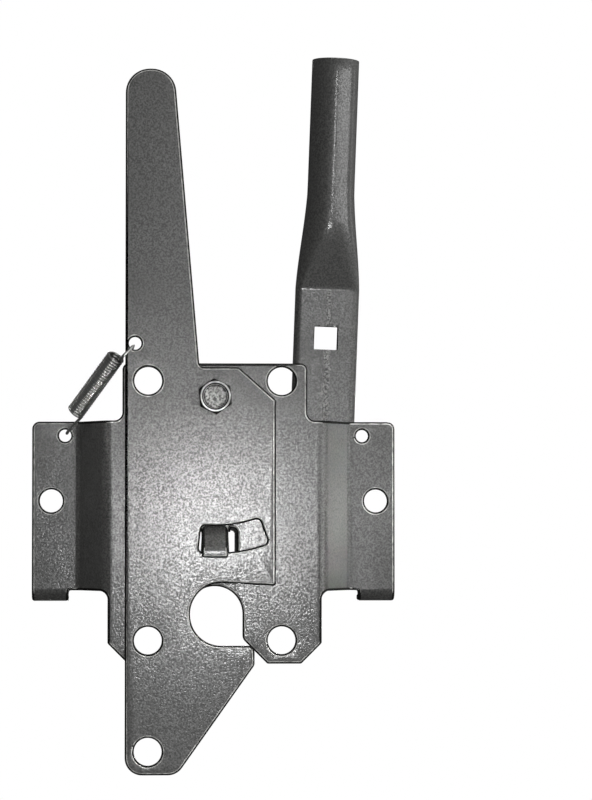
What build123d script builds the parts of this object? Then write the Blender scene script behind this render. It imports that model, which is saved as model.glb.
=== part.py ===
from build123d import *
import os
from math import asin, atan, cos, degrees, pi, radians, sin, tan

# Post latch, in millimetres. X runs to the right, Z up, and the viewer stands at -Y.
# The post's face is the plane Y = 0. The origin lies between the two flange bolt holes.

# Sheet steel
sheet = 3.0                 # thickness of the bracket and of the lever
bend_inside = 3.0           # inside radius of every bend
small_corner = 1.2          # corners that are only broken

# Bracket, across the post
flange_half = 85.0          # centre to the outer edge of a flange
flange_corner = 62.2        # centre to where web and flange would meet without a bend
plate_corner = 50.3         # centre to where web and raised plate would meet without a bend
hat_depth = 24.0            # post face to the front of the raised plate

# Bracket, up and down
shoulder_top = 37.1
shoulder_radius = 3.5
web_bottom = -41.8
lip_bottom = -46.8
lip_reach = 12.0            # post face to the end of the lips behind it
lip_width = 17.1            # from the flange's outer edge
tab_half = 42.8             # half the width of the raised plate's upper end
tab_top = 63.6
tab_radius = 3.0
inner_corner = 3.8          # inner corners between plate and web edges
leg_half = 49.5
leg_bottom = -75.3
leg_chamfer = 9.5
notch_radius = 12.8         # half the width of the notch for the strike
notch_centre = -52.3
notch_chamfer = 11.5
notch_lead_radius = 4.0

# Holes in the bracket
post_hole_inset = 9.0       # from the flange's outer edge
post_hole_radius = 5.35
spring_hole_inset = 15.4    # from the flange's outer edge
spring_hole_z = 30.5
spring_hole_radius = 2.85
lock_hole_x = 30.9
lock_hole_top = 55.4
lock_hole_bottom = -64.5
lock_hole_radius = 6.4

# Stop tab, lanced from the raised plate, through the lever's slot and down in front of it
stop_width = 12.0
stop_bend = -12.3           # height of its bend at the plate
stop_knee = -22.4           # height of its bend in front of the lever
stop_end = -26.3
stop_gap = 0.5              # between the lever's front and the tab's end
window_half = 10.6
window_top = -12.3
window_bottom = -32.0
window_radius = 2.6
window_slope = 2.0          # how much smaller the window is at the plate's back

# Pivot: a 3/8 inch hex bolt with a washer and a nylon-insert lock nut
pivot_z = 48.0
bolt_radius = 4.76
hex_across = 14.3
hex_top_radius = 6.9        # flat top of the head inside its chamfer
head_height = 6.0
head_turn = 35.0            # degrees, turns one corner just left of straight up
head_recess_radius = 6.2
head_recess_depth = 0.9
bore_clearance = 0.05       # running fit on the bolt
lever_gap = 0.2             # play on each side of the lever
washer_radius = 10.0
washer_thickness = 2.0
nut_height = 8.6
nut_collar_height = 3.1
nut_collar_radius = 6.7
nut_mouth_radius = 5.5
insert_radius = 6.0
insert_thickness = 2.2
thread_end = 1.6            # bolt that shows past the nut
thread_chamfer = 0.8

# Lever
lever_swing = 14.0          # degrees from shut to open
lever_left = -41.5
lever_right = 28.1
handle_top = 200.1
handle_radius = 11.2
handle_top_x = -19.0
handle_base_x = -7.2
shoulder_height = 61.7
shoulder_x = 10.9
shoulder_low = 46.5
lever_lower = -39.3
throat_left = -11.5
throat_top = -37.1
throat_bottom = -66.9
throat_radius = 14.4
hook_tip = 18.3
hook_tip_low = -75.8
hook_tip_radius = 3.0
heel_z = -126.3
heel_radius = 8.0
toe_x = -17.5
lever_hole_x = -37.0
lever_hole_z = 72.6
lever_hole_radius = 2.9
toe_hole_z = -115.5
slot_inner = 59.7           # slot radii about the pivot
slot_outer = 72.0
slot_end_gap = 0.3          # slot's ends to the stop tab, shut and open
slot_corner = 2.1

# Return spring
coil_radius = 3.6           # to the middle of the wire
wire_radius = 0.67
coil_turns = 25
turn_steps = 7              # straight steps in each turn
wire_sides = 5
hook_gap = 0.6              # hook's wire to the wall of its hole
coil_past_tab = 3.1         # bracket's upper corner to the coil's end, across
coil_above_tab = 2.9        # and upwards
low_hook_short = 0.4        # hook's end to the post, which the flange lies on
low_coil_reach = (5.0, -6.5, 10.9)      # front of the flange's hole to the coil
low_hook_knee = (1.2, -2.1, 1.6)        # hook's bends, from the front or back of its hole
low_hook_shank = (4.6, -4.3, 5.2)
high_hook_shank = (-4.8, -1.9, -5.0)
high_hook_knee = (-1.8, -1.3, -2.2)
high_hook_end = (-0.4, 1.3, -1.2)

# Strike tube: a round tube whose lower end is pressed flat
tube_radius = 11.1
tube_wall = 3.0
tube_lean = 2.14            # degrees, top to the right
tube_flat_half = 15.1
tube_slit = 0.4             # left between the two pressed walls
tube_inset = 9.4            # flange's bend to the centre of the square hole
tube_z = 76.8
tube_hole = 11.0
tube_top = 131.7            # square hole to the open end, along the tube
tube_round_end = 56.0       # square hole to the end of the round tube
tube_flat_start = 23.0      # square hole to the start of the flat
tube_bottom = -77.0         # square hole to the sheared end

# Values that follow from those above
lip_inner = flange_half - lip_width
post_hole_spacing = 2 * (flange_half - post_hole_inset)
spring_hole_x = flange_half - spring_hole_inset
tube_x = flange_corner - tube_inset
plate_front = -hat_depth
plate_middle = plate_front + sheet / 2
plate_back = plate_front + sheet
lever_back = plate_front - lever_gap
lever_front = lever_back - sheet
head_under = lever_front - lever_gap
bend_middle = bend_inside + sheet / 2
bore_radius = bolt_radius + bore_clearance
lip_bend_top = lip_bottom + sheet + bend_inside
nut_face = plate_back + washer_thickness
nut_end = nut_face + nut_height + nut_collar_height
bolt_end = nut_end + thread_end
slot_reach = degrees(asin((stop_width / 2 + slot_end_gap) / slot_inner))
tube_flat_thickness = 2 * tube_wall + tube_slit
hex_corner = hex_across / 2 / cos(radians(30))
hex_edge = (hex_corner - hex_top_radius) * tan(radians(30))

pivot_axis = Axis((0, 0, pivot_z), (0, -1, 0))


def save(piece, name):
    """Label one finished piece and write its STEP file."""
    piece.part.label = name
    export_step(piece.part, f"parts/{name}.step")


def pivot_face(y):
    """Plane across the pivot at depth y that faces the viewer, its own Y pointing up."""
    return Plane(origin=(0, y, pivot_z), x_dir=(1, 0, 0), z_dir=(0, -1, 0))


def pivot_section(y):
    """Plane along the pivot from depth y, its own X the radius and its own Y towards the viewer."""
    return Plane(origin=(0, y, pivot_z), x_dir=(1, 0, 0), z_dir=(0, 0, -1))


os.makedirs("parts", exist_ok=True)

# Bracket: a hat section along Z, trimmed to its front outline, with its lips and its stop tab
hat_line = [
    (flange_half, -sheet / 2),
    (flange_corner, -sheet / 2),
    (plate_corner, plate_middle),
    (-plate_corner, plate_middle),
    (-flange_corner, -sheet / 2),
    (-flange_half, -sheet / 2),
]
bracket_outline = [
    (0, tab_top),
    (tab_half, tab_top),
    (tab_half, shoulder_top),
    (flange_half, shoulder_top),
    (flange_half, lip_bend_top),
    (lip_inner, lip_bend_top),
    (lip_inner, web_bottom),
    (leg_half, web_bottom),
    (leg_half, leg_bottom + leg_chamfer),
    (leg_half - leg_chamfer, leg_bottom),
    (notch_radius + notch_chamfer, leg_bottom),
    (notch_radius, leg_bottom + notch_chamfer),
    (notch_radius, notch_centre),
]
bracket_radii = [
    tab_radius, inner_corner, shoulder_radius, 0, 0, 0, inner_corner,
    small_corner, small_corner, small_corner, notch_lead_radius,
]
lip_line = [
    (-sheet / 2, lip_bend_top + sheet),
    (-sheet / 2, lip_bottom + sheet / 2),
    (lip_reach, lip_bottom + sheet / 2),
]
stop_front = lever_front - stop_gap - sheet / 2
stop_line = [
    (plate_middle, stop_bend + 2 * sheet),
    (plate_middle, stop_bend),
    (stop_front, stop_knee),
    (stop_front, stop_end),
]

with BuildPart() as post_bracket:
    with BuildSketch(Plane.XY.offset(leg_bottom)):
        with BuildLine():
            FilletPolyline(*hat_line, radius=bend_middle)
        trace(line_width=sheet)
    extrude(amount=tab_top - leg_bottom)
    with BuildSketch(Plane.XZ):
        with BuildLine():
            FilletPolyline(*bracket_outline, radius=bracket_radii)
            mirror(about=Plane.YZ)
            CenterArc((0, notch_centre), notch_radius, 0, 180)
        make_face()
        with GridLocations(post_hole_spacing, 0, 2, 1):
            Circle(post_hole_radius, mode=Mode.SUBTRACT)
        with Locations((-spring_hole_x, spring_hole_z), (spring_hole_x, spring_hole_z)):
            Circle(spring_hole_radius, mode=Mode.SUBTRACT)
        for z in (lock_hole_top, lock_hole_bottom):
            with Locations((-lock_hole_x, z), (lock_hole_x, z)):
                Circle(lock_hole_radius, mode=Mode.SUBTRACT)
        with Locations((0, pivot_z)):
            Circle(bore_radius, mode=Mode.SUBTRACT)
    extrude(amount=hat_depth, mode=Mode.INTERSECT)
    with BuildSketch(Plane.XZ.offset(hat_depth)):
        with Locations((0, (window_top + window_bottom) / 2)):
            RectangleRounded(2 * window_half, window_top - window_bottom, window_radius)
    extrude(amount=-sheet, taper=degrees(atan(window_slope / sheet)), mode=Mode.SUBTRACT)
    for side in (-1, 1):
        with BuildSketch(Plane.YZ.offset(side * (lip_inner + flange_half) / 2)):
            with BuildLine():
                FilletPolyline(*lip_line, radius=bend_middle)
            trace(line_width=sheet)
        extrude(amount=(flange_half - lip_inner) / 2, both=True)
    with BuildSketch(Plane.YZ):
        with BuildLine():
            FilletPolyline(*stop_line, radius=sheet)
        trace(line_width=sheet)
    extrude(amount=stop_width / 2, both=True)
save(post_bracket, "post_bracket")

# Lever: one flat plate with its handle, its hook and the arc slot for the stop tab
lever_outline = [
    (lever_left, heel_z),
    (lever_left, handle_top),
    (handle_top_x, handle_top),
    (handle_base_x, shoulder_height),
    (shoulder_x, shoulder_height),
    (lever_right, shoulder_low),
    (lever_right, lever_lower),
    (throat_left, throat_top),
    (throat_left, throat_bottom),
    (hook_tip, throat_bottom),
    (hook_tip, hook_tip_low),
    (toe_x, heel_z),
]
lever_radii = [
    heel_radius, handle_radius, handle_radius, small_corner * 2, small_corner, small_corner,
    small_corner, throat_radius, throat_radius, hook_tip_radius, hook_tip_radius, heel_radius,
]

with BuildPart() as latch_lever:
    with BuildSketch(Plane.XZ.offset(-lever_back)):
        with BuildLine():
            FilletPolyline(*lever_outline, radius=lever_radii, close=True)
        make_face()
        with Locations((0, pivot_z)):
            Circle(bore_radius, mode=Mode.SUBTRACT)
        for z in (lock_hole_top, lock_hole_bottom, toe_hole_z):
            with Locations((-lock_hole_x, z)):
                Circle(lock_hole_radius, mode=Mode.SUBTRACT)
        with Locations((lever_hole_x, lever_hole_z)):
            Circle(lever_hole_radius, mode=Mode.SUBTRACT)
        with BuildSketch(mode=Mode.PRIVATE) as stop_slot:
            with BuildLine():
                start, sweep_angle = -90 - slot_reach, lever_swing + 2 * slot_reach
                outer = CenterArc((0, pivot_z), slot_outer, start, sweep_angle)
                inner = CenterArc((0, pivot_z), slot_inner, start, sweep_angle)
                Line(outer @ 0, inner @ 0)
                Line(outer @ 1, inner @ 1)
            make_face()
            fillet(stop_slot.vertices(), radius=slot_corner)
        add(stop_slot.sketch, mode=Mode.SUBTRACT)
    extrude(amount=sheet)
save(latch_lever, "latch_lever")

# Pivot bolt: turned from the head's blank down to its chamfered end, then its six flats
bolt_length = bolt_end - head_under
bolt_profile = [
    (0, -bolt_length),
    (bolt_radius - thread_chamfer, -bolt_length),
    (bolt_radius, thread_chamfer - bolt_length),
    (bolt_radius, 0),
    (hex_corner, 0),
    (hex_corner, head_height - hex_edge),
    (hex_top_radius, head_height),
    (head_recess_radius, head_height),
    (head_recess_radius - head_recess_depth / 2, head_height - head_recess_depth),
    (0, head_height - head_recess_depth),
]

with BuildPart() as pivot_bolt:
    with BuildSketch(pivot_section(head_under)):
        with BuildLine():
            Polyline(*bolt_profile, close=True)
        make_face()
    revolve(axis=pivot_axis)
    with BuildSketch(pivot_face(head_under)):
        Circle(2 * hex_corner)
        RegularPolygon(hex_across / 2, 6, major_radius=False, rotation=head_turn, mode=Mode.SUBTRACT)
    extrude(amount=head_height, mode=Mode.SUBTRACT)
save(pivot_bolt, "pivot_bolt")

# Washer between the raised plate's back and the nut
with BuildPart() as pivot_washer:
    with BuildSketch(pivot_face(nut_face)):
        Circle(washer_radius)
        Circle(bore_radius, mode=Mode.SUBTRACT)
    extrude(amount=washer_thickness)
save(pivot_washer, "pivot_washer")

# Lock nut: a hexagon with a round collar, hollowed for its insert
hex_end = nut_end - nut_collar_height
insert_top = nut_end - (nut_collar_height - insert_thickness) / 2
insert_foot = insert_top - insert_thickness
nut_profile = [
    (bore_radius, 0),
    (hex_corner, 0),
    (hex_corner, hex_edge - nut_height),
    (hex_top_radius, -nut_height),
    (nut_collar_radius, -nut_height),
    (nut_collar_radius, -nut_height - nut_collar_height),
    (nut_mouth_radius, -nut_height - nut_collar_height),
    (nut_mouth_radius, nut_face - insert_top),
    (insert_radius, nut_face - insert_top),
    (insert_radius, nut_face - insert_foot),
    (bore_radius, nut_face - insert_foot),
]

with BuildPart() as lock_nut:
    with BuildSketch(pivot_section(nut_face)):
        with BuildLine():
            Polyline(*nut_profile, close=True)
        make_face()
    revolve(axis=pivot_axis)
    with BuildSketch(pivot_face(hex_end)):
        Circle(2 * hex_corner)
        RegularPolygon(hex_across / 2, 6, major_radius=False, rotation=head_turn, mode=Mode.SUBTRACT)
    extrude(amount=nut_height, mode=Mode.SUBTRACT)
save(lock_nut, "lock_nut")

# Nylon insert that grips the bolt's thread
with BuildPart() as nut_insert:
    with BuildSketch(pivot_face(insert_top)):
        Circle(insert_radius)
        Circle(bore_radius, mode=Mode.SUBTRACT)
    extrude(amount=insert_thickness)
save(nut_insert, "nut_insert")


def tube_outline(half_flat, corner_height, half_thickness):
    """Outline with two sides across the tube's flats, bowed or straight, and two round ones."""
    bow = half_thickness - corner_height
    side_turn = pi / 2 - 2 * atan(bow / half_flat)
    side = half_flat + corner_height * tan(side_turn / 2)
    for up in (1, -1):
        left, right = (-half_flat, up * corner_height), (half_flat, up * corner_height)
        if bow > 0:
            ThreePointArc(left, (0, up * half_thickness), right)
        else:
            Line(left, right)
    for out in (1, -1):
        top, bottom = (out * half_flat, corner_height), (out * half_flat, -corner_height)
        ThreePointArc(top, (out * side, 0), bottom)


tube_plane = Plane(
    origin=(tube_x, tube_flat_thickness / 2, tube_z),
    x_dir=(cos(radians(tube_lean)), 0, -sin(radians(tube_lean))),
    z_dir=(sin(radians(tube_lean)), 0, cos(radians(tube_lean))),
)

tube_side_plane = Plane(origin=tube_plane.origin, x_dir=(0, 1, 0), z_dir=tube_plane.x_dir)
tube_corner = tube_radius * sin(pi / 4)
tube_half_thickness = tube_flat_thickness / 2
bore = tube_radius - tube_wall
bore_wedge = [
    (-bore, tube_top), (-bore, tube_round_end), (-tube_slit / 2, tube_flat_start),
    (tube_slit / 2, tube_flat_start), (bore, tube_round_end), (bore, tube_top),
]

# Bore: round above, narrowed by two slopes, then the slit between the pressed walls
with BuildPart() as tube_bore:
    with BuildSketch(tube_plane.offset(tube_flat_start)):
        Circle(bore)
    extrude(amount=tube_top - tube_flat_start)
    with BuildSketch(tube_side_plane):
        Polygon(*bore_wedge, align=None)
    extrude(amount=bore, both=True, mode=Mode.INTERSECT)
    with BuildSketch(tube_plane.offset(tube_bottom)):
        Rectangle(2 * (tube_flat_half - tube_wall), tube_slit)
    extrude(amount=tube_flat_start - tube_bottom)

# Strike tube: round, pressed flat at its lower end, with a square hole through both walls
with BuildPart() as strike_tube:
    with BuildSketch(tube_plane.offset(tube_round_end)):
        Circle(tube_radius)
    extrude(amount=tube_top - tube_round_end)
    with BuildSketch(tube_plane.offset(tube_round_end)):
        with BuildLine():
            tube_outline(tube_corner, tube_corner, tube_radius)
        make_face()
    with BuildSketch(tube_plane.offset(tube_flat_start)):
        with BuildLine():
            tube_outline(tube_flat_half - tube_half_thickness, tube_half_thickness, tube_half_thickness)
        make_face()
    loft(ruled=True)
    with BuildSketch(tube_plane.offset(tube_bottom)):
        SlotOverall(2 * tube_flat_half, tube_flat_thickness)
    extrude(amount=tube_flat_start - tube_bottom)
    add(tube_bore.part, mode=Mode.SUBTRACT)
    with BuildSketch(Plane(origin=tube_plane.origin, x_dir=tube_plane.x_dir, z_dir=(0, -1, 0))):
        Rectangle(tube_hole, tube_hole)
    extrude(amount=tube_flat_thickness, both=True, mode=Mode.SUBTRACT)
save(strike_tube, "strike_tube")

# Return spring: a close coil whose ends reach from its side to the two small holes
low_hole = Vector(-spring_hole_x, -sheet / 2, spring_hole_z)
high_hole = Vector(lever_hole_x, (lever_back + lever_front) / 2, lever_hole_z)
face_step = Vector(0, sheet / 2, 0)
coil_start = low_hole - face_step + Vector(*low_coil_reach)
coil_end = Vector(-tab_half - coil_past_tab, plate_front, tab_top + coil_above_tab)
coil_axis = (coil_end - coil_start).normalized()
coil_pitch = (coil_end - coil_start).length / coil_turns
coil_plane = Plane(origin=coil_start, x_dir=Vector(0, 1, 0).cross(coil_axis), z_dir=coil_axis)
coil_points = [
    coil_plane.from_local_coords(Vector(
        coil_radius * cos(2 * pi * step / turn_steps),
        -coil_radius * sin(2 * pi * step / turn_steps),
        coil_pitch * step / turn_steps,
    ))
    for step in range(coil_turns * turn_steps + 1)
]
hole_play = spring_hole_radius - wire_radius - hook_gap
pull = Vector(coil_axis.X, 0, coil_axis.Z).normalized() * hole_play
low_hook = [
    low_hole + pull + face_step - Vector(0, low_hook_short, 0),
    low_hole + pull - face_step - Vector(0, hook_gap, 0),
    low_hole + pull - face_step + Vector(*low_hook_knee),
    low_hole + pull - face_step + Vector(*low_hook_shank),
]
high_hook = [
    high_hole - pull - face_step + Vector(*high_hook_shank),
    high_hole - pull - face_step + Vector(*high_hook_knee),
    high_hole - pull - face_step - Vector(0, hook_gap, 0),
    high_hole - pull + face_step,
    high_hole - pull + face_step + Vector(*high_hook_end),
]

with BuildPart() as return_spring:
    with BuildLine() as wire_line:
        Polyline(*low_hook, *coil_points, *high_hook)
    with BuildSketch(Plane(origin=wire_line.wire() @ 0, z_dir=wire_line.wire() % 0)):
        RegularPolygon(wire_radius, wire_sides)
    sweep(path=wire_line.wire(), transition=Transition.RIGHT)
save(return_spring, "return_spring")
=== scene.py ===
"""Looks of the post latch: its powder-coated sheet parts, strike tube, bolt, nut and spring."""

import logging
import math
from dataclasses import dataclass, field, replace
from enum import Enum

import bmesh
import bpy
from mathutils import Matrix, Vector
from mathutils.bvhtree import BVHTree


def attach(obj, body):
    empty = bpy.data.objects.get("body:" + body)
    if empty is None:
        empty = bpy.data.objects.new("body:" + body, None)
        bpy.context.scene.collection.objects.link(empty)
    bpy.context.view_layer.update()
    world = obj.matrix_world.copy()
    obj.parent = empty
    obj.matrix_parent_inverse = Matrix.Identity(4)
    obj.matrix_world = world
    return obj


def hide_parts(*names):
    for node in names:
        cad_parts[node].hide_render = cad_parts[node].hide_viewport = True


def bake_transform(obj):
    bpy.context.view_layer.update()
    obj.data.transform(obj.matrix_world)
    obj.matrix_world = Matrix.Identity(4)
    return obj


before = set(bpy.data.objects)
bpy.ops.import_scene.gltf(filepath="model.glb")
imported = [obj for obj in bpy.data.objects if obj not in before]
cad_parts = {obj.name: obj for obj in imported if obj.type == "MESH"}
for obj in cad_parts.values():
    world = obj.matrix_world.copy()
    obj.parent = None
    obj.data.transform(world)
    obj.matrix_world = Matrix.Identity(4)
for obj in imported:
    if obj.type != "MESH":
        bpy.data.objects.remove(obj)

MM = 0.001
NOISE_AXIS = (0.4, 0.7, 0.6)
NOISE_ANGLE = 0.9
log = logging.getLogger("post_latch")


class Body(Enum):
    """The two bodies of the latch."""

    BRACKET = "bracket"
    LEVER = "lever"


class Slot(Enum):
    """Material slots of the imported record."""

    COAT = "powder_coat"
    SPRING = "spring_steel"
    ZINC = "zinc"
    NYLON = "nylon"


class Nodes:
    """Adds nodes to one shader or geometry tree and joins them."""

    def __init__(self, tree: bpy.types.NodeTree) -> None:
        """Keep the tree that the nodes go into.

        Args:
            tree: A node tree, emptied by its owner.
        """
        self.tree = tree
        self.column = 0

    def add(self, kind: str, inputs: dict | None = None, **settings: object) -> bpy.types.Node:
        """Add one node, with its inputs set or joined.

        Args:
            kind: The node's type name.
            inputs: Input name or number to a value, or to an output socket to join.
            settings: Properties of the node itself.

        Returns:
            The new node.
        """
        node = self.tree.nodes.new(kind)
        node.location = (200 * self.column, 0)
        self.column += 1
        for name, value in settings.items():
            setattr(node, name, value)
        for name, value in (inputs or {}).items():
            self.feed(node.inputs[name], value)
        return node

    def feed(self, socket: bpy.types.NodeSocket, value: object) -> None:
        """Join an output to a socket, or set the socket's own value."""
        if isinstance(value, bpy.types.NodeSocket):
            self.tree.links.new(value, socket)
        else:
            socket.default_value = value

    def maths(self, operation: str, *terms: object) -> bpy.types.NodeSocket:
        """Add a Math node and return its value."""
        kind = "ShaderNodeMath"
        return self.add(kind, dict(enumerate(terms)), operation=operation).outputs[0]

    def vector(self, operation: str, *terms: object) -> bpy.types.NodeSocket:
        """Add a Vector Math node and return its vector."""
        kind = "ShaderNodeVectorMath"
        return self.add(kind, dict(enumerate(terms)), operation=operation).outputs["Vector"]

    def noise(
        self, place: bpy.types.NodeSocket, size: float, detail: float = 2.0,
    ) -> bpy.types.NodeSocket:
        """Add a noise pattern, turned so that no flat face lies along its lattice.

        Args:
            place: Coordinates in metres.
            size: Width of one patch, in metres.
            detail: Octaves of finer noise.

        Returns:
            The pattern's value, about 0.2 to 0.8.
        """
        turned = self.add(
            "ShaderNodeVectorRotate",
            {"Vector": place, "Axis": NOISE_AXIS, "Angle": NOISE_ANGLE},
        )
        made = self.add(
            "ShaderNodeTexNoise",
            {"Vector": turned.outputs[0], "Scale": 1 / size, "Detail": detail},
        )
        return made.outputs["Fac"]

    def spread(
        self, value: object, low: float, high: float, start: float, end: float,
    ) -> bpy.types.NodeSocket | float:
        """Map a value from low..high to start..end, held at both ends.

        Where start and end are the same, the result is a plain number, which stays on the
        shader's own socket.
        """
        if start == end:
            return start
        made = self.add(
            "ShaderNodeMapRange",
            {"Value": value, "From Min": low, "From Max": high, "To Min": start, "To Max": end},
        )
        return made.outputs["Result"]

    def mixed(self, share: object, first: object, second: object) -> bpy.types.NodeSocket:
        """Mix two colours by a share."""
        made = self.add("ShaderNodeMix", data_type="RGBA")
        self.feed(made.inputs["Factor"], share)
        self.feed(made.inputs[6], first)
        self.feed(made.inputs[7], second)
        return made.outputs[2]


@dataclass(frozen=True)
class PowderCoat:
    """Powder coat with an orange-peel skin under a glossy surface.

    Attributes:
        name: The finish's name.
        colour: Its colour.
        peel_size: Width of one bump of the peel, in metres.
        peel_depth: Height of the peel, in metres.
        roughness: Roughness under the skin.
        skin_gloss: Roughness of the skin.
        skin: Share of the skin where the peel is full.
        shine: Scale of all gloss.
        pitting: Share of the skin that the peel's pits lack.
        painted_rim_level: Level of the painted shade on a rounded edge, as a scale of the
            coat's colour; above 1 it paints a highlight instead; 0 for a flat's coat.
        mottle: Extra contrast between the peel's bumps and pits.
        recess: Middle of a round recess with painted shade in its corner, across and up.
        crease: Whether the piece has the press crease as an attribute.
    """

    name: str
    colour: tuple[float, float, float]
    peel_size: float = 0.82 * MM
    peel_depth: float = 0.033 * MM
    roughness: float = 0.38
    skin_gloss: float = 0.14
    skin: float = 0.85
    shine: float = 1.0
    pitting: float = 0.82
    painted_rim_level: float = 0.0
    mottle: float = 0.0
    recess: tuple[float, float] | None = None
    crease: bool = False

    def make(self) -> bpy.types.Material:
        """Build the material.

        Returns:
            The finished coat.
        """
        made, nodes, place = empty_material(self.name)
        peel = nodes.noise(place, self.peel_size, 1.0)
        swell = nodes.noise(place, self.peel_size * 2.3, 1.0)
        grit = nodes.noise(place, self.peel_size * 0.25, 2.0)
        cloud = nodes.noise(place, 34 * MM, 3.0)
        height = nodes.maths("ADD", peel, nodes.maths("MULTIPLY", swell, 0.5))
        height = nodes.maths("ADD", height, nodes.maths("MULTIPLY", grit, 0.10))
        low, high = self.tint(0.74 - 0.5 * self.mottle), self.tint(1.34 + 2.0 * self.mottle)
        colour = nodes.mixed(nodes.spread(peel, 0.36, 0.66, 0.0, 1.0), low, high)
        faded = tuple(c * 1.10 + 0.004 for c in self.colour) + (1.0,)
        colour = nodes.mixed(nodes.spread(cloud, 0.45, 0.70, 0.0, 0.45), colour, faded)
        # Rounded edges get painted shade and a painted highlight line beside the flat.
        if self.painted_rim_level:
            colour = self.edge_shade_and_highlight(nodes, place, colour)
        # A bolt's recess gets painted shade in its corner.
        if self.recess:
            colour = self.painted_corner_shade(nodes, place, colour)
        if self.crease:
            colour, height = self.creased(nodes, place, colour, height)
        bump = nodes.add(
            "ShaderNodeBump",
            {"Height": height, "Distance": self.peel_depth, "Strength": 1.0},
        )
        normal = bump.outputs["Normal"]
        gloss = nodes.spread(cloud, 0.3, 0.7, self.roughness * 0.9, self.roughness * 1.1)
        dull, bright = 0.38 * self.shine, 0.68 * self.shine
        skin = self.skin * self.shine
        dress(nodes, {
            "Base Color": colour,
            "Roughness": gloss,
            "Specular IOR Level": nodes.spread(peel, 0.36, 0.66, dull, bright),
            "Normal": normal,
            "Coat Weight": nodes.spread(peel, 0.43, 0.58, skin * (1 - self.pitting), skin),
            "Coat Roughness": self.skin_gloss,
            "Coat Normal": normal,
        })
        return made

    def tint(self, level: float) -> tuple[float, float, float, float]:
        """Give the coat's colour, lighter or darker."""
        return tuple(min(1.0, level * c) for c in self.colour) + (1.0,)

    def creased(
        self, nodes: Nodes, place: bpy.types.NodeSocket, colour: bpy.types.NodeSocket,
        height: bpy.types.NodeSocket,
    ) -> tuple[bpy.types.NodeSocket, bpy.types.NodeSocket]:
        """Lighten the coat in spots along the press crease, and roughen it there.

        Args:
            nodes: The material's nodes.
            place: Coordinates in metres.
            colour: The coat's colour so far.
            height: The coat's height so far.

        Returns:
            The colour and the height with the crease.
        """
        near = nodes.add("ShaderNodeAttribute", attribute_name="crease").outputs["Fac"]
        scale = nodes.noise(place, 0.9 * MM, 2.0)
        spots = nodes.maths("MULTIPLY", near, nodes.spread(scale, 0.42, 0.62, 0.0, 1.0))
        lightened = nodes.mixed(nodes.maths("MULTIPLY", spots, 0.85), colour, self.tint(5.0))
        lumps = nodes.maths("MULTIPLY", nodes.maths("MULTIPLY", near, scale), 7.0)
        return lightened, nodes.maths("ADD", height, lumps)

    def edge_shade_and_highlight(
        self, nodes: Nodes, place: bpy.types.NodeSocket, colour: bpy.types.NodeSocket,
    ) -> bpy.types.NodeSocket:
        """Paint shade on a rounded edge (a painted highlight where the level is above 1), with
        a painted highlight line where the edge leaves the flat.

        Args:
            nodes: The material's nodes.
            place: Coordinates in metres.
            colour: The coat's colour so far.

        Returns:
            The colour of the edge.
        """
        # Painted shade on the edge, then a painted highlight line on its faces that still face
        # front or back, broken up by noise.
        dark = nodes.mixed(0.85, colour, self.tint(self.painted_rim_level))
        facing = nodes.add("ShaderNodeNewGeometry").outputs["Normal"]
        parts = nodes.add("ShaderNodeSeparateXYZ", {0: facing}).outputs
        faced = nodes.maths("ABSOLUTE", parts["Y"])
        highlight_breakup = nodes.spread(nodes.noise(place, 2.6 * MM, 4.0), 0.35, 0.62, 0.4, 1.0)
        light = nodes.maths("MULTIPLY", nodes.spread(faced, 0.90, 0.96, 0.0, 1.0), highlight_breakup)
        return nodes.mixed(light, dark, self.tint(self.painted_rim_level + 9.0))

    def painted_corner_shade(
        self, nodes: Nodes, place: bpy.types.NodeSocket, colour: bpy.types.NodeSocket,
    ) -> bpy.types.NodeSocket:
        """Paint shade into the corner of the round recess in a bolt's head.

        Args:
            nodes: The material's nodes.
            place: Coordinates in metres.
            colour: The coat's colour so far.

        Returns:
            The colour of the recess.
        """
        middle = (self.recess[0], 0.0, self.recess[1])
        offset = nodes.vector("SUBTRACT", place, middle)
        flat = nodes.vector("MULTIPLY", offset, (1.0, 0.0, 1.0))
        length = nodes.add("ShaderNodeVectorMath", {0: flat}, operation="LENGTH")
        wander = nodes.spread(nodes.noise(place, 1.6 * MM, 3.0), 0.3, 0.7, -0.5 * MM, 0.5 * MM)
        away = nodes.maths("ADD", length.outputs["Value"], wander)
        # Painted shade, darker from 4.5 mm out from the recess's middle.
        share = nodes.spread(away, 4.5 * MM, 5.1 * MM, 0.0, 0.95)
        return nodes.mixed(share, colour, self.tint(0.04))


@dataclass(frozen=True)
class DrawnSteel:
    """Bright drawn spring wire with fine die lines and a film of oil."""

    name: str
    colour: tuple[float, float, float] = (0.50, 0.50, 0.49)

    def make(self) -> bpy.types.Material:
        """Build the material.

        Returns:
            The finished steel.
        """
        made, nodes, place = empty_material(self.name)
        lines = nodes.noise(place, 0.35 * MM, 3.0)
        film = nodes.noise(place, 4 * MM, 3.0)
        light = self.colour + (1.0,)
        dark = tuple(0.42 * c for c in self.colour) + (1.0,)
        colour = nodes.mixed(nodes.spread(film, 0.35, 0.7, 0.3, 0.0), light, dark)
        bump = nodes.add(
            "ShaderNodeBump",
            {"Height": lines, "Distance": 0.01 * MM, "Strength": 0.5},
        )
        dress(nodes, {
            "Base Color": colour,
            "Metallic": 1.0,
            "Roughness": nodes.spread(lines, 0.3, 0.7, 0.27, 0.32),
            "Normal": bump.outputs["Normal"],
        })
        return made


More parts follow.
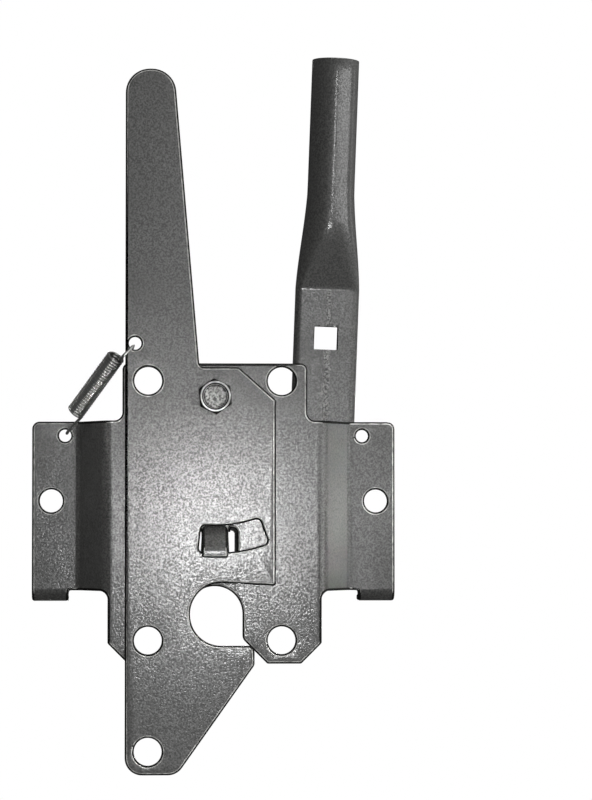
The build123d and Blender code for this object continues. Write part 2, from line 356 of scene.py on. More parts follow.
@dataclass(frozen=True)
class ZincPlate:
    """Satin zinc plating with a faint spangle and dulled patches."""

    name: str
    colour: tuple[float, float, float] = (0.62, 0.63, 0.62)

    def make(self) -> bpy.types.Material:
        """Build the material.

        Returns:
            The finished plating.
        """
        made, nodes, place = empty_material(self.name)
        cells = nodes.add("ShaderNodeTexVoronoi", {"Vector": place, "Scale": 1 / (0.9 * MM)})
        dull = nodes.noise(place, 5 * MM, 4.0)
        light = self.colour + (1.0,)
        dark = tuple(0.62 * c for c in self.colour) + (1.0,)
        colour = nodes.mixed(nodes.spread(dull, 0.4, 0.7, 0.0, 0.8), light, dark)
        bump = nodes.add(
            "ShaderNodeBump",
            {"Height": cells.outputs["Distance"], "Distance": 0.02 * MM, "Strength": 0.5},
        )
        dress(nodes, {
            "Base Color": colour,
            "Metallic": 1.0,
            "Roughness": nodes.spread(dull, 0.35, 0.7, 0.28, 0.48),
            "Normal": bump.outputs["Normal"],
        })
        return made


@dataclass(frozen=True)
class Nylon:
    """Milky nylon, a little scuffed."""

    name: str
    colour: tuple[float, float, float] = (0.72, 0.74, 0.74)

    def make(self) -> bpy.types.Material:
        """Build the material.

        Returns:
            The finished plastic.
        """
        made, nodes, place = empty_material(self.name)
        scuff = nodes.noise(place, 0.8 * MM, 4.0)
        light = self.colour + (1.0,)
        dark = tuple(0.8 * c for c in self.colour) + (1.0,)
        colour = nodes.mixed(nodes.spread(scuff, 0.4, 0.7, 0.0, 1.0), light, dark)
        bump = nodes.add(
            "ShaderNodeBump",
            {"Height": scuff, "Distance": 0.03 * MM, "Strength": 0.5},
        )
        dress(nodes, {"Base Color": colour, "Roughness": 0.5, "Normal": bump.outputs["Normal"]})
        return made


def empty_material(name: str) -> tuple[bpy.types.Material, Nodes, bpy.types.NodeSocket]:
    """Start a material on object coordinates.

    Args:
        name: The finish's name.

    Returns:
        The material, its nodes, and the coordinates in metres.
    """
    made = bpy.data.materials.new(name)
    made.use_nodes = True
    made.node_tree.nodes.clear()
    nodes = Nodes(made.node_tree)
    place = nodes.add("ShaderNodeTexCoord").outputs["Object"]
    return made, nodes, place


def dress(nodes: Nodes, inputs: dict) -> None:
    """End a material with its shader.

    Args:
        nodes: The material's nodes.
        inputs: Values of the shader's sockets.
    """
    shader = nodes.add("ShaderNodeBsdfPrincipled", inputs)
    nodes.add("ShaderNodeOutputMaterial", {"Surface": shader.outputs[0]})


def mesh_object(name: str, form: bmesh.types.BMesh) -> bpy.types.Object:
    """Turn a finished form into an object at the origin.

    Args:
        name: The piece's name.
        form: The form, in metres in the shared frame. It is freed.

    Returns:
        The new object, in the scene.
    """
    mesh = bpy.data.meshes.new(name)
    form.to_mesh(mesh)
    form.free()
    made = bpy.data.objects.new(name, mesh)
    bpy.context.scene.collection.objects.link(made)
    return made


def settle(piece: bpy.types.Object, name: str) -> bpy.types.Object:
    """Replace a piece by the plain mesh that its modifiers give.

    Args:
        piece: The object with its live modifiers. It is removed.
        name: Name of the result.

    Returns:
        A plain mesh object at the origin.
    """
    bpy.context.view_layer.update()
    graph = bpy.context.evaluated_depsgraph_get()
    mesh = bpy.data.meshes.new_from_object(piece.evaluated_get(graph), depsgraph=graph)
    bpy.data.objects.remove(piece)
    mesh.name = name
    made = bpy.data.objects.new(name, mesh)
    bpy.context.scene.collection.objects.link(made)
    return made


def paint(piece: bpy.types.Object, *materials: bpy.types.Material) -> None:
    """Give a piece its materials, in order of their slots, and keep each face's slot."""
    faces = piece.data.polygons
    slots = [face.material_index for face in faces]
    piece.data.materials.clear()
    for material in materials:
        piece.data.materials.append(material)
    faces.foreach_set("material_index", slots)


@dataclass
class Rounding:
    """Rounds the sheared edges of a copy of a CAD node.

    Attributes:
        width: Width of the rounding, in metres.
        segments: Faces across the rounding.
        sheet: Thickness of the sheet, in metres; 0 for a solid part.
        angle: Smallest angle of an edge that is rounded, in degrees.
        stray: Share of the width past which a point counts as thrown out.
    """

    width: float = 1.2 * MM
    segments: int = 4
    sheet: float = 3.0 * MM
    angle: float = 30.0
    stray: float = 0.4

    def is_cut(self, face: bmesh.types.BMFace) -> bool:
        """Tell whether a face is part of a cut through the sheet's thickness.

        Args:
            face: A face with four corners or more.

        Returns:
            True where two sharp edges run along the face, one sheet's thickness apart.
        """
        if self.sheet <= 0 or len(face.edges) != 4:
            return False
        sharp = math.radians(self.angle)
        plain = [e.calc_length() for e in face.edges if e.calc_face_angle(0.0) < sharp]
        return len(plain) == 2 and all(abs(length - self.sheet) < 0.1 * MM for length in plain)

    def rounded(self, node: str, name: str) -> bpy.types.Object:
        """Copy a CAD node and round its edges.

        Args:
            node: The CAD node.
            name: The new piece's name.

        Returns:
            The rounded piece, whose edge faces use material slot 1.
        """
        form = bmesh.new()
        form.from_mesh(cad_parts[node].data)
        bmesh.ops.remove_doubles(form, verts=form.verts, dist=0.002 * MM)
        bmesh.ops.dissolve_limit(
            form, angle_limit=math.radians(0.6), verts=form.verts, edges=form.edges,
        )
        for face in form.faces:
            face.material_index = 1 if self.is_cut(face) else 0
            face.smooth = True
        bmesh.ops.triangulate(form, faces=[face for face in form.faces if len(face.verts) > 4])
        piece = mesh_object(name + "_raw", form)
        paint(piece, *(bpy.data.materials.new(f"{name}_{n}") for n in range(2)))
        bevel = piece.modifiers.new("edges", "BEVEL")
        bevel.width = self.width
        bevel.segments = self.segments
        bevel.limit_method = "ANGLE"
        bevel.angle_limit = math.radians(self.angle)
        bevel.use_clamp_overlap = False
        bevel.loop_slide = False
        bevel.material = 1
        bevel.miter_outer = "MITER_SHARP"
        normals = piece.modifiers.new("normals", "WEIGHTED_NORMAL")
        normals.weight = 80
        normals.keep_sharp = True
        made = settle(piece, name)
        self.draw_in(made, node)
        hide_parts(node)
        return made

    def draw_in(self, piece: bpy.types.Object, node: str) -> None:
        """Bring corner points that the rounding threw out back to the CAD node's skin.

        Args:
            piece: The rounded piece.
            node: The CAD node that it was copied from.
        """
        form = bmesh.new()
        form.from_mesh(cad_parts[node].data)
        skin = BVHTree.FromBMesh(form)
        form.free()
        for vertex in piece.data.vertices:
            place, _, _, away = skin.find_nearest(vertex.co)
            if away > self.stray * self.width:
                vertex.co = place


@dataclass
class SheetParts:
    """The bracket and the lever, pressed from sheet and powder-coated."""

    coat: PowderCoat
    edge: PowderCoat
    rounding: Rounding = field(default_factory=Rounding)

    def build(self) -> list[bpy.types.Object]:
        """Round and paint both sheets.

        Returns:
            The bracket's and the lever's pieces.
        """
        coat, edge = self.coat.make(), self.edge.make()
        made = []
        for node, name, body in (
            ("post_bracket", "bracket_sheet", Body.BRACKET),
            ("latch_lever", "lever_plate", Body.LEVER),
        ):
            piece = self.rounding.rounded(node, name)
            paint(piece, coat, edge)
            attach(piece, body.value)
            made.append(piece)
        return made


@dataclass
class StrikeTube:
    """Round tube whose lower end is pressed flat, with a square bolt hole.

    Sizes are in millimetres. Heights are measured up the tube from the square hole.

    Attributes:
        coat: Finish of the skin.
        edge: Finish of the rounded edges, with painted shade and a painted highlight line.
        centre: Middle of the square hole.
        lean: Lean of the tube, in degrees.
        radius: Outer radius of the round end.
        wall: Thickness of the wall.
        flat_half: Half the width of the flat's plane part.
        full_half: Half the width of the whole flat.
        flare_start: Height where the tube starts to widen.
        half_thickness: Half the thickness of the flat.
        top: Height of the upper end.
        round_end: Height where the pressing starts.
        flat_start: Height where the flat is reached.
        bottom: Height of the lower end.
        hole: Width of the square hole.
        round_points: Points of one section.
        soft: Share of the pressing that eases in at the round end.
        crisp: Share of the pressing that eases out at the flat.
        rounding: Width of the rounding of the edges.
        groove: Depth of the press crease.
    """

    coat: PowderCoat
    edge: PowderCoat
    centre: tuple[float, float, float] = (52.8, 3.2, 76.8)
    lean: float = 2.14
    radius: float = 11.1
    wall: float = 3.0
    flat_half: float = 11.9
    full_half: float = 15.1
    flare_start: float = 69.0
    half_thickness: float = 3.2
    top: float = 131.7
    round_end: float = 50.5
    flat_start: float = 23.2
    bottom: float = -77.0
    hole: float = 11.0
    round_points: int = 160
    soft: float = 0.25
    crisp: float = 0.04
    rounding: float = 0.3
    groove: float = 0.12

    def press(self, along: float) -> float:
        """Share of the pressing at a height along the tube.

        Args:
            along: Millimetres from the square hole, up the tube.

        Returns:
            0 where the tube is round, 1 where it is flat.
        """
        share = (self.round_end - along) / (self.round_end - self.flat_start)
        share = min(max(share, -self.soft), 1 + self.crisp)
        if share < self.soft:
            return (share + self.soft) ** 2 / (4 * self.soft)
        if share > 1 - self.crisp:
            return 1 - (1 + self.crisp - share) ** 2 / (4 * self.crisp)
        return share

    def section(self, along: float, inset: float) -> list[tuple[float, float]]:
        """Outline of one section, evenly spaced.

        Args:
            along: Millimetres from the square hole, up the tube.
            inset: Distance inwards from the outer skin.

        Returns:
            Points across and through the tube, in millimetres.
        """
        press = self.press(along)
        high = self.radius + press * (self.half_thickness - self.radius) - inset
        flat = self.flat_half * press
        end = self.half_width(along) - inset - flat
        straight, curved = 8, 64
        line = [(flat * n / straight, high) for n in range(straight)]
        for step in range(curved + 1):
            turn = math.pi / 2 * step / curved
            line.append((flat + end * math.sin(turn), high * math.cos(turn)))
        right = self.spaced(line, self.round_points // 4)
        below = [(x, -y) for x, y in reversed(right)]
        half = right[:-1] + below[:-1]
        return half + [(-x, -y) for x, y in half]

    def spaced(self, line: list[tuple[float, float]], count: int) -> list[tuple[float, float]]:
        """Set points evenly along a line.

        Args:
            line: The line's own points.
            count: Number of even steps.

        Returns:
            The evenly spaced points, both ends included.
        """
        gone = [0.0]
        for first, second in zip(line, line[1:]):
            gone.append(gone[-1] + math.dist(first, second))
        points = []
        place = 0
        for step in range(count + 1):
            way = gone[-1] * step / count
            while place < len(line) - 2 and gone[place + 1] <= way:
                place += 1
            length = max(gone[place + 1] - gone[place], 1e-9)
            share = min((way - gone[place]) / length, 1.0)
            pair = zip(line[place], line[place + 1])
            points.append(tuple(a + share * (b - a) for a, b in pair))
        return points

    def half_width(self, along: float) -> float:
        """Half the tube's width, which flares in a long curve towards the flat.

        Args:
            along: Millimetres from the square hole, up the tube.

        Returns:
            Half the width, in millimetres.
        """
        share = (self.flare_start - along) / (self.flare_start - self.flat_start)
        share = min(max(share, 0.0), 1.0)
        ease = 0.5 * share + 0.5 * share * share * (3 - 2 * share)
        return self.radius + (self.full_half - self.radius) * ease

    def crease(self, across: float, along: float) -> float:
        """Share of the wavering crease that the press leaves down the flat.

        Args:
            across: Millimetres from the tube's middle.
            along: Millimetres from the square hole, up the tube.

        Returns:
            1 in the crease, 0 away from it.
        """
        if along > self.flat_start:
            return 0.0
        waver = 0.9 + 0.35 * math.sin(along * 0.31) + 0.25 * math.sin(along * 0.83 + 1.0)
        near = (across - waver) / (1.15 if along > 0 else 1.6)
        fade = min(1.0, (self.flat_start - along) / 2.0)
        return fade * math.exp(-near * near * near * near)

    def heights(self) -> list[float]:
        """Heights of the sections, closest where the form changes."""
        wide, close = 1.25, 0.5
        close_rows, upper_rows = 70, 12
        change = self.flat_start - 3
        rows = [self.bottom + wide * n for n in range(int((change - self.bottom) / wide))]
        rows += [change + close * n for n in range(close_rows)]
        last = rows[-1]
        rows += [last + (self.top - last) * n / upper_rows for n in range(1, upper_rows + 1)]
        return rows

    def build(self) -> bpy.types.Object:
        """Build the tube with its bore and its square hole.

        Returns:
            The painted tube.
        """
        lean = math.radians(self.lean)
        across = Vector((math.cos(lean), 0, -math.sin(lean)))
        up = Vector((math.sin(lean), 0, math.cos(lean)))
        form = bmesh.new()
        mark = form.verts.layers.float.new("crease")
        rows = self.heights()
        skins = []
        for inset in (0.0, self.wall):
            skin = []
            for along in rows:
                ring = []
                for x, y in self.section(along, inset):
                    share = self.crease(x, along) if inset == 0 else 0.0
                    y -= math.copysign(self.groove * share, y)
                    place = Vector(self.centre) + across * x + up * along + Vector((0, y, 0))
                    vert = form.verts.new(place * MM)
                    vert[mark] = share
                    ring.append(vert)
                skin.append(ring)
            skins.append(skin)
        count = self.round_points
        for number, skin in enumerate(skins):
            for low, high in zip(skin, skin[1:]):
                for n in range(count):
                    quad = [low[n], low[(n + 1) % count], high[(n + 1) % count], high[n]]
                    form.faces.new(quad if number else quad[::-1])
        for outer, inner in ((skins[0][0], skins[1][0]), (skins[0][-1], skins[1][-1])):
            for n in range(count):
                m = (n + 1) % count
                form.faces.new([outer[n], outer[m], inner[m], inner[n]])
        bmesh.ops.recalc_face_normals(form, faces=form.faces)
        for face in form.faces:
            face.smooth = True
        tube = mesh_object("strike_tube_raw", form)
        cutter = self.cutter(across, up)
        cut = tube.modifiers.new("hole", "BOOLEAN")
        cut.object = cutter
        cut.operation = "DIFFERENCE"
        cut.solver = "EXACT"
        paint(tube, *(bpy.data.materials.new(f"tube_{n}") for n in range(2)))
        bevel = tube.modifiers.new("edges", "BEVEL")
        bevel.width = self.rounding * MM
        bevel.segments = 2
        bevel.limit_method = "ANGLE"
        bevel.angle_limit = math.radians(50)
        bevel.use_clamp_overlap = False
        bevel.material = 1
        made = settle(tube, "strike_tube_wall")
        bpy.data.objects.remove(cutter)
        made.data.set_sharp_from_angle(angle=math.radians(40))
        paint(made, self.coat.make(), self.edge.make())
        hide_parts("strike_tube")
        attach(made, Body.BRACKET.value)
        return made

    def cutter(self, across: Vector, up: Vector) -> bpy.types.Object:
        """Make the square block that cuts the bolt hole.

        Args:
            across: Direction across the tube.
            up: Direction up the tube.

        Returns:
            The block, to be removed after the cut.
        """
        form = bmesh.new()
        corners = []
        for depth in (-20, 20):
            for x, z in ((-1, -1), (1, -1), (1, 1), (-1, 1)):
                place = Vector(self.centre) + across * (x * self.hole / 2)
                place += up * (z * self.hole / 2) + Vector((0, depth, 0))
                corners.append(form.verts.new(place * MM))
        ends = ((0, 1, 2, 3), (7, 6, 5, 4))
        walls = ((0, 4, 5, 1), (1, 5, 6, 2), (2, 6, 7, 3), (3, 7, 4, 0))
        for ring in ends + walls:
            form.faces.new([corners[n] for n in ring])
        bmesh.ops.recalc_face_normals(form, faces=form.faces)
        return mesh_object("square_cut", form)


@dataclass
class ReturnSpring:
    """Close-wound extension spring, hooked into the flange and the lever.

    Attributes:
        steel: Finish of the wire.
        low_hole: Middle of the flange's hole, in millimetres.
        high_hole: Middle of the lever's hole, in millimetres.
        coil_start: Lower end of the coil, in millimetres.
        coil_end: Upper end of the coil, in millimetres.
        half_sheet: Half the thickness of flange and lever, in millimetres.
        hole_radius: Radius of both holes, in millimetres.
        coil_radius: Radius to the middle of the wire, in millimetres.
        wire_radius: Radius of the wire, in millimetres.
        turns: Turns of the coil.
        steps: Points in one turn.
    """

    steel: DrawnSteel
    low_hole: tuple[float, float, float] = (-69.6, -1.5, 30.5)
    high_hole: tuple[float, float, float] = (-37.0, -25.7, 72.6)
    coil_start: tuple[float, float, float] = (-64.6, -9.5, 41.4)
    coil_end: tuple[float, float, float] = (-45.9, -24.0, 66.5)
    half_sheet: float = 1.5
    hole_radius: float = 2.85
    coil_radius: float = 3.6
    wire_radius: float = 0.7
    turns: int = 25
    steps: int = 24

    def tree(self) -> bpy.types.NodeTree:
        """Build the node tree that winds the coil between its hooks.

        Returns:
            The tree, with named inputs for the coil's sizes.
        """
        tree = bpy.data.node_groups.new("wind_spring", "GeometryNodeTree")
        face = tree.interface
        face.new_socket("Geometry", in_out="INPUT", socket_type="NodeSocketGeometry")
        face.new_socket("Geometry", in_out="OUTPUT", socket_type="NodeSocketGeometry")
        for name, kind in (
            ("Coil start", "NodeSocketVector"), ("Coil end", "NodeSocketVector"),
            ("Coil radius", "NodeSocketFloat"), ("Wire radius", "NodeSocketFloat"),
            ("Turns", "NodeSocketInt"), ("Steps in a turn", "NodeSocketInt"),
            ("Steel", "NodeSocketMaterial"),
        ):
            face.new_socket(name, in_out="INPUT", socket_type=kind)
        nodes = Nodes(tree)
        given = nodes.add("NodeGroupInput").outputs
        start, end = given["Coil start"], given["Coil end"]
        last = nodes.maths("MULTIPLY", given["Turns"], given["Steps in a turn"])
        line = nodes.add("GeometryNodeMeshLine", {"Count": nodes.maths("ADD", last, 1.0)})
        index = nodes.add("GeometryNodeInputIndex").outputs[0]
        share = nodes.maths("DIVIDE", index, last)
        whole = nodes.maths("MULTIPLY", index, 2 * math.pi)
        angle = nodes.maths("DIVIDE", whole, given["Steps in a turn"])
        run = nodes.vector("SUBTRACT", end, start)
        axis = nodes.vector("NORMALIZE", run)
        side = nodes.vector("NORMALIZE", nodes.vector("CROSS_PRODUCT", (0, 1, 0), axis))
        other = nodes.vector("CROSS_PRODUCT", axis, side)
        swing = nodes.vector("SCALE", side)
        lift = nodes.vector("SCALE", other)
        along = nodes.vector("SCALE", run)
        radius = given["Coil radius"]
        out = nodes.maths("MULTIPLY", radius, nodes.maths("COSINE", angle))
        back = nodes.maths("MULTIPLY", radius, nodes.maths("SINE", angle))
        nodes.feed(swing.node.inputs["Scale"], out)
        nodes.feed(lift.node.inputs["Scale"], nodes.maths("MULTIPLY", back, -1.0))
        nodes.feed(along.node.inputs["Scale"], share)
        middle = nodes.vector("ADD", start, along)
        place = nodes.vector("ADD", middle, nodes.vector("ADD", swing, lift))
        moved = nodes.add(
            "GeometryNodeSetPosition",
            {"Geometry": line.outputs[0], "Position": place},
        )
        ordered = nodes.add(
            "GeometryNodeStoreNamedAttribute",
            {"Geometry": moved.outputs[0], "Name": "order", "Value": index},
            data_type="FLOAT", domain="POINT",
        )
        joined = nodes.add("GeometryNodeJoinGeometry")
        for part in (given["Geometry"], ordered.outputs[0]):
            tree.links.new(part, joined.inputs[0])
        points = nodes.add("GeometryNodeMeshToPoints", {"Mesh": joined.outputs[0]})
        order = nodes.add(
            "GeometryNodeInputNamedAttribute",
            {"Name": "order"},
            data_type="FLOAT",
        )
        path = nodes.add(
            "GeometryNodePointsToCurves",
            {"Points": points.outputs[0], "Weight": order.outputs[0]},
        )
        smooth = nodes.add(
            "GeometryNodeCurveSplineType",
            {"Curve": path.outputs[0]},
            spline_type="CATMULL_ROM",
        )
        fine = nodes.add(
            "GeometryNodeSetSplineResolution",
            {"Geometry": smooth.outputs[0], "Resolution": 3},
        )
        ring = nodes.add(
            "GeometryNodeCurvePrimitiveCircle",
            {"Resolution": 14, "Radius": given["Wire radius"]},
        )
        wire = nodes.add(
            "GeometryNodeCurveToMesh",
            {"Curve": fine.outputs[0], "Profile Curve": ring.outputs[0], "Fill Caps": True},
        )
        shaded = nodes.add("GeometryNodeSetShadeSmooth", {"Geometry": wire.outputs[0]})
        real = nodes.add("GeometryNodeRealizeInstances", {"Geometry": shaded.outputs[0]})
        dressed = nodes.add(
            "GeometryNodeSetMaterial",
            {"Geometry": real.outputs[0], "Material": given["Steel"]},
        )
        nodes.add("NodeGroupOutput", {"Geometry": dressed.outputs[0]})
        return tree

    def hooks(self) -> list[tuple[Vector, float]]:
        """Points of both hooks with their order along the wire.

        Returns:
            Places in millimetres, each with its order; the coil's own points count up from 0.
        """
        start, end = Vector(self.coil_start), Vector(self.coil_end)
        run = end - start
        play = self.hole_radius - self.wire_radius - 0.6
        pull = Vector((run.x, 0, run.z)).normalized() * play
        low, high = Vector(self.low_hole) + pull, Vector(self.high_hole) - pull
        step = Vector((0, self.half_sheet, 0))
        first = [
            low + step - Vector((0, 0.4, 0)),
            low - step - Vector((0, 0.6, 0)),
            low - step + Vector((1.2, -2.1, 1.6)),
            low - step + Vector((4.6, -4.3, 5.2)),
        ]
        second = [
            high - step + Vector((-4.8, -1.9, -5.0)),
            high - step + Vector((-1.8, -1.3, -2.2)),
            high - step - Vector((0, 0.6, 0)),
            high + step,
            high + step + Vector((-0.4, 1.3, -1.2)),
        ]
        last = self.turns * self.steps
        placed = [(p, n - len(first)) for n, p in enumerate(first)]
        return placed + [(p, last + 1 + n) for n, p in enumerate(second)]

    def build(self) -> bpy.types.Object:
        """Wind the spring between bracket and lever.

        Returns:
            The spring's wire.
        """
        mesh = bpy.data.meshes.new("hook_points")
        hooks = self.hooks()
        mesh.from_pydata([p * MM for p, _ in hooks], [], [])
        order = mesh.attributes.new("order", "FLOAT", "POINT")
        order.data.foreach_set("value", [float(n) for _, n in hooks])
        raw = bpy.data.objects.new("hook_points", mesh)
        bpy.context.scene.collection.objects.link(raw)
        modifier = raw.modifiers.new("wind", "NODES")
        tree = self.tree()
        modifier.node_group = tree
        values = {
            "Coil start": Vector(self.coil_start) * MM,
            "Coil end": Vector(self.coil_end) * MM,
            "Coil radius": self.coil_radius * MM,
            "Wire radius": self.wire_radius * MM,
            "Turns": self.turns,
            "Steps in a turn": self.steps,
            "Steel": self.steel.make(),
        }
        for item in tree.interface.items_tree:
            if item.in_out == "INPUT" and item.name in values:
                modifier[item.identifier] = values[item.name]
        made = settle(raw, "spring_wire")
        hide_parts("return_spring")
        tuple(Vector(self.coil_start) * MM)
        tuple(Vector(self.coil_end) * MM)
        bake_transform(made)
        return made


@dataclass
class PivotSet:
    """Pivot bolt with its washer, lock nut and nylon insert.

    Attributes:
        coat: Finish of the bolt.
        floor: Finish of the floor of the head's recess, with painted shade in its corner.
        lightened: Finish of the ring around the recess, lighter as a painted highlight.
        edge: Finish of the edges beside the ring, darker as painted shade.
        zinc: Finish of washer and nut.
        nylon: Finish of the insert.
        rounding: Rounding of the edges.
        recess: Radius of the recess's floor, in metres.
        recess_depth: Depth within which a face belongs to the recess, in metres.
        ring_inside: Inner radius of the ring, in metres.
        ring_outside: Outer radius of the ring, in metres.
    """

    coat: PowderCoat
    floor: PowderCoat
    lightened: PowderCoat
    edge: PowderCoat
    zinc: ZincPlate
    nylon: Nylon
    rounding: Rounding = field(default_factory=lambda: Rounding(0.2 * MM, 2, 0.0, 25.0))
    recess: float = 5.5 * MM
    recess_depth: float = 1.5 * MM
    ring_inside: float = 6.1 * MM
    ring_outside: float = 6.95 * MM

    def build(self) -> list[bpy.types.Object]:
        """Round and dress the four pieces.

        Returns:
            The bolt, the washer, the nut and the insert.
        """
        bolt = self.rounding.rounded("pivot_bolt", "bolt_head_and_shank")
        middle = self.ring(bolt)
        # The recess's floor gets a painted shade ring in its corner.
        floor = replace(self.floor, recess=middle)
        paint(bolt, self.coat.make(), self.lightened.make(), self.edge.make(), floor.make())
        zinc = self.zinc.make()
        made = [bolt]
        for node, name in (("pivot_washer", "washer_ring"), ("lock_nut", "nut_body")):
            piece = self.rounding.rounded(node, name)
            paint(piece, zinc, zinc)
            made.append(piece)
        insert = self.rounding.rounded("nut_insert", "insert_ring")
        nylon = self.nylon.make()
        paint(insert, nylon, nylon)
        made.append(insert)
        for piece in made:
            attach(piece, Body.BRACKET.value)
        return made

    def ring(self, bolt: bpy.types.Object) -> tuple[float, float]:
        """Sort the bolt's faces: ring with a painted highlight, rims beside it with painted
        shade, recess, coat elsewhere.

        Args:
            bolt: The rounded bolt.

        Returns:
            The middle of the head, across and up.
        """
        points = [vertex.co for vertex in bolt.data.vertices]
        spans = [[p[axis] for p in points] for axis in (0, 2)]
        middle = [(min(span) + max(span)) / 2 for span in spans]
        front = min(p.y for p in points)
        for face in bolt.data.polygons:
            away = math.dist((face.center.x, face.center.z), middle)
            if self.ring_inside < away < self.ring_outside:
                face.material_index = 1
            elif away > self.recess:
                face.material_index = 2
            else:
                inside = face.center.y < front + self.recess_depth
                face.material_index = 3 if inside else 0
        return tuple(middle)


@dataclass(frozen=True)
class Lamp:
    """One soft lamp.

    Attributes:
        name: The lamp's name.
        place: Where it stands, in metres.
        size: Its width and height, in metres.
        power: Its power, in watts.
        beam: Angle that the grid in front of it lets through, in degrees.
        aim: Where it points, in metres.
    """

    name: str
    place: tuple[float, float, float]
    size: tuple[float, float]
    power: float
    beam: float = 180.0
    aim: tuple[float, float, float] = (0.0, 0.0, 0.03)


WEB_GRID = 5.0
SPRING_GRID = 8.0
RIGHT_WEB = (0.055, -0.012, -0.008)
LEFT_WEB = (-0.055, -0.012, -0.008)
SPRING = (-0.055, -0.017, 0.054)
LAMPS = (
    Lamp("front lamp", (0.039, -1.50, -0.020), (0.05, 0.05), 2.65),
    Lamp("front upper lamp", (0.21, -1.50, 0.34), (0.08, 0.17), 1.5),
    Lamp("front right lamp", (0.92, -0.77, 0.31), (1.5, 0.25), 5.8),
    Lamp("right web lamp", (0.90, -0.06, 0.84), (0.06, 0.06), 0.055, WEB_GRID, RIGHT_WEB),
    Lamp("left web lamp", (-0.90, -0.06, 0.84), (0.06, 0.06), 0.003, WEB_GRID, LEFT_WEB),
    Lamp("spring lamp", (0.36, -0.62, -0.258), (0.16, 0.06), 0.02, SPRING_GRID, SPRING),
    Lamp("right edge lamp", (1.35, 0.39, 0.31), (0.2, 0.3), 0.25),
    Lamp("upper right lamp", (1.00, -0.05, 1.05), (0.8, 0.8), 4.0),
    Lamp("rear lamp", (0.0, 1.50, 0.90), (1.0, 0.6), 15.0),
)


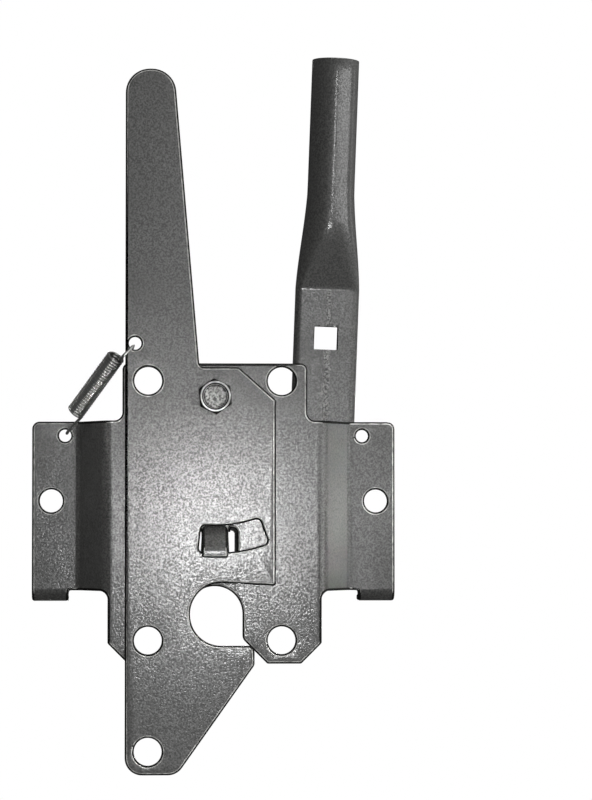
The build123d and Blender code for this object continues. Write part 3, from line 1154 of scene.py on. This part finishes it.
@dataclass
class Studio:
    """Pale floor, white surround, soft lamps and the camera.

    Attributes:
        lamps: All lamps.
        camera_place: Where the camera stands, in metres.
        aim: Where it points, in metres.
        lens: Its focal length, in millimetres.
        floor_height: Height of the floor, in metres.
        floor_reach: Radius of the floor, in metres.
        floor_sides: Sides of the floor's round edge.
    """

    lamps: tuple[Lamp, ...] = LAMPS
    camera_place: tuple[float, float, float] = (-0.03836, -1.55, -0.0089)
    aim: tuple[float, float, float] = (0.0387, 0.0, 0.0475)
    lens: float = 148.5
    floor_height: float = -0.30
    floor_reach: float = 24.0
    floor_sides: int = 64

    def camera(self) -> None:
        """Place the camera where the photo was taken from."""
        data = bpy.data.cameras.new("camera")
        data.lens = self.lens
        data.sensor_width = 36.0
        data.clip_end = 60.0
        made = bpy.data.objects.new("camera", data)
        bpy.context.scene.collection.objects.link(made)
        made.location = self.camera_place
        look = Vector(self.aim) - Vector(self.camera_place)
        made.rotation_euler = look.to_track_quat("-Z", "Y").to_euler()
        bpy.context.scene.camera = made

    def light(self, lamp: Lamp) -> None:
        """Add one lamp to the scene.

        Args:
            lamp: The lamp.
        """
        data = bpy.data.lights.new(lamp.name, "AREA")
        data.shape = "RECTANGLE"
        data.size, data.size_y = lamp.size
        data.energy = lamp.power
        data.spread = math.radians(lamp.beam)
        made = bpy.data.objects.new(lamp.name, data)
        bpy.context.scene.collection.objects.link(made)
        made.location = lamp.place
        look = Vector(lamp.aim) - Vector(lamp.place)
        made.rotation_euler = look.to_track_quat("-Z", "Y").to_euler()

    def surround(self) -> None:
        """Give the world its white backdrop and its dim, right-leaning light."""
        world = bpy.data.worlds.new("surround")
        bpy.context.scene.world = world
        world.use_nodes = True
        world.node_tree.nodes.clear()
        nodes = Nodes(world.node_tree)
        path = nodes.add("ShaderNodeLightPath").outputs["Is Camera Ray"]
        way = nodes.add("ShaderNodeTexCoord").outputs["Generated"]
        parts = nodes.add("ShaderNodeSeparateXYZ", {0: way}).outputs
        right = nodes.spread(parts["X"], 0.35, 0.90, 0.0, 1.0)
        behind = nodes.spread(parts["Y"], -0.25, 0.10, 0.0, 1.0)
        level = nodes.maths("MULTIPLY", nodes.maths("MULTIPLY", right, behind), 0.15)
        ahead = nodes.spread(parts["Y"], 0.62, 0.92, 1.0, 0.12)
        side = nodes.spread(parts["X"], -0.8, 0.8, 0.12, 0.14)
        level = nodes.maths("ADD", level, nodes.maths("MULTIPLY", side, ahead))
        unseen = nodes.maths("SUBTRACT", 1.0, path)
        strength = nodes.maths("ADD", nodes.maths("MULTIPLY", level, unseen), path)
        back = nodes.add("ShaderNodeBackground", {"Color": (1, 1, 1, 1), "Strength": strength})
        nodes.add("ShaderNodeOutputWorld", {"Surface": back.outputs[0]})

    def floor(self) -> None:
        """Lay a pale floor that fades into the white surround."""
        form = bmesh.new()
        turns = [2 * math.pi * n / self.floor_sides for n in range(self.floor_sides)]
        ring = [
            form.verts.new((
                self.floor_reach * math.cos(turn),
                self.floor_reach * math.sin(turn),
                self.floor_height,
            ))
            for turn in turns
        ]
        form.faces.new(ring)
        made = mesh_object("floor", form)
        material, nodes, place = empty_material("floor paint")
        parts = nodes.add("ShaderNodeSeparateXYZ", {0: place}).outputs
        squares = [nodes.maths("MULTIPLY", parts[axis], parts[axis]) for axis in ("X", "Y")]
        away = nodes.maths("SQRT", nodes.maths("ADD", *squares))
        fade = nodes.spread(away, 0.35, 1.2, 0.55, 1.0)
        path = nodes.add("ShaderNodeLightPath").outputs["Is Camera Ray"]
        share = nodes.maths("MULTIPLY", fade, path)
        pale = nodes.mixed(path, (0.16, 0.16, 0.16, 1), (0.82, 0.82, 0.81, 1))
        matt = nodes.add("ShaderNodeBsdfDiffuse", {"Color": pale})
        glow = nodes.add("ShaderNodeEmission", {"Color": (1, 1, 1, 1), "Strength": 1.0})
        mix = nodes.add(
            "ShaderNodeMixShader",
            {0: share, 1: matt.outputs[0], 2: glow.outputs[0]},
        )
        nodes.add("ShaderNodeOutputMaterial", {"Surface": mix.outputs[0]})
        paint(made, material)

    def build(self) -> None:
        """Set up the whole studio."""
        self.camera()
        for lamp in self.lamps:
            self.light(lamp)
        self.surround()
        self.floor()
        bpy.context.scene.view_settings.view_transform = "Standard"


def main() -> None:
    """Build the latch's looks, sub-assembly by sub-assembly."""
    logging.basicConfig(level=logging.INFO, format="%(name)s: %(message)s")
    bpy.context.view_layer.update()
    grey = (0.09, 0.09, 0.087)
    pale = tuple(1.6 * c for c in grey)
    light = tuple(1.8 * c for c in grey)
    coat = PowderCoat("plate coat", grey)
    # The edge coat paints shade on rounded edges, with a painted highlight line beside the
    # flats.
    edge = PowderCoat("plate edge coat", grey, peel_depth=0.02 * MM, shine=0.0, painted_rim_level=0.12)
    tube_coat = PowderCoat(
        "tube coat", grey, peel_depth=0.05 * MM, pitting=0.5, shine=0.85, crease=True,
    )
    head_coat = PowderCoat("bolt coat", pale, peel_depth=0.25 * MM)
    floor = PowderCoat(
        "bolt recess coat", light, peel_size=1.1 * MM, peel_depth=0.3 * MM, mottle=1.0,
    )
    # The ring's coat is lighter, a painted highlight on the bolt head.
    lightened = PowderCoat("worn bolt coat", pale, peel_depth=0.03 * MM, painted_rim_level=1.7)
    zinc, nylon = ZincPlate("zinc plate"), Nylon("nylon")
    Studio().build()
    pieces = SheetParts(coat, edge).build()
    pieces.append(StrikeTube(tube_coat, edge).build())
    pieces.append(ReturnSpring(DrawnSteel("spring wire")).build())
    pieces += PivotSet(head_coat, floor, lightened, edge, zinc, nylon).build()
    for piece in pieces:
        log.info("%s: %d faces", piece.name, len(piece.data.polygons))


if __name__ == "__main__":
    main()
